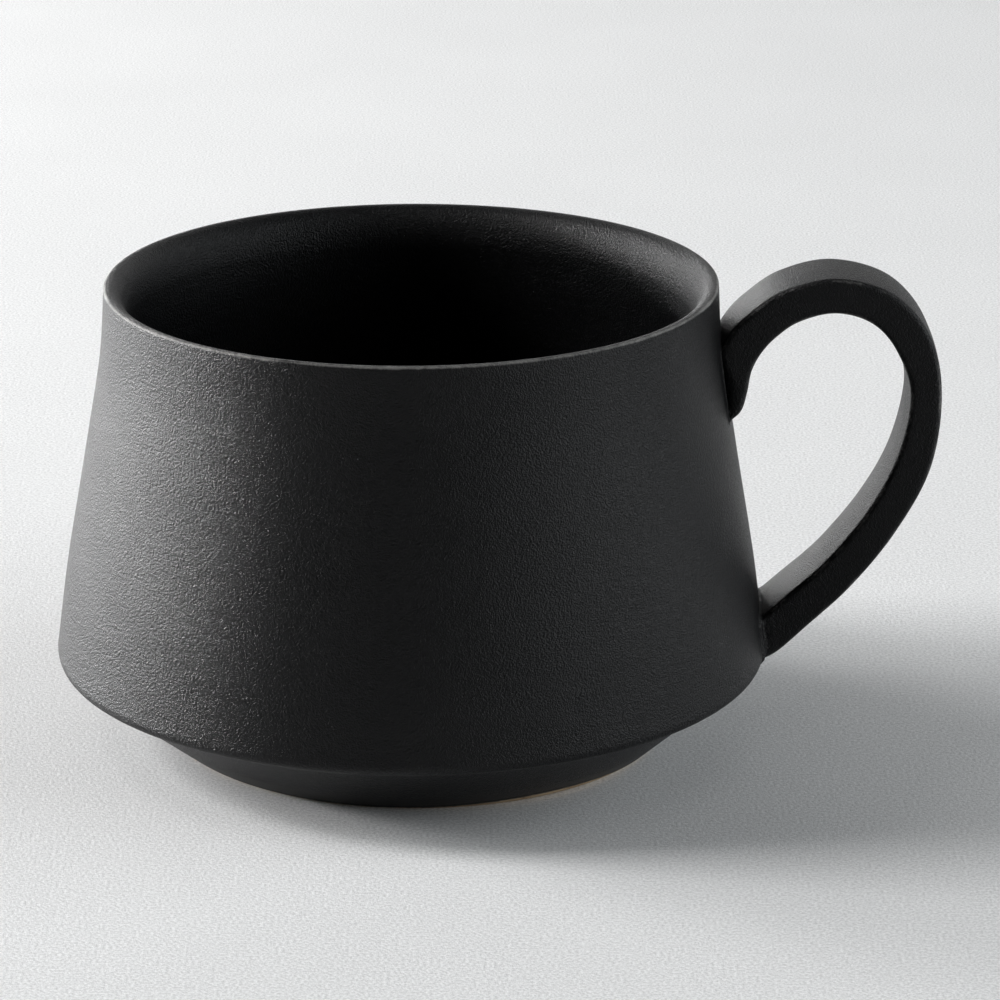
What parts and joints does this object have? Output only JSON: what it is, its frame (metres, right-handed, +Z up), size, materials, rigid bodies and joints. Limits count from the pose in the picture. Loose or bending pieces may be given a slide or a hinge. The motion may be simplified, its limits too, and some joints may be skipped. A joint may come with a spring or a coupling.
{
  "type": "mug",
  "caption": "Thrown stoneware mug with a tapered wall, a bevelled lip, a low turned foot and a pulled strap handle, for hot drinks.",
  "frame": {"origin": "on the surface the mug stands on, under the middle of its bounding box, 13.25 mm from the cup's axis towards the handle", "axes": "+Z up, +X from the cup's axis out through the middle of the handle"},
  "size_m": [0.1391, 0.1126, 0.0745],
  "materials": {
    "glaze": "matte black glaze, fine pebbly grain",
    "bare_clay": "unglazed fired stoneware, matte",
    "glazed_slip": "slip under matte black glaze, smoothed by hand"
  },
  "bodies": {
    "root": {"cup_body": "glaze", "foot_ring": "bare_clay", "handle_strap": "glaze", "upper_handle_joint": "glazed_slip", "lower_handle_joint": "glazed_slip"}
  },
  "joints": []
}
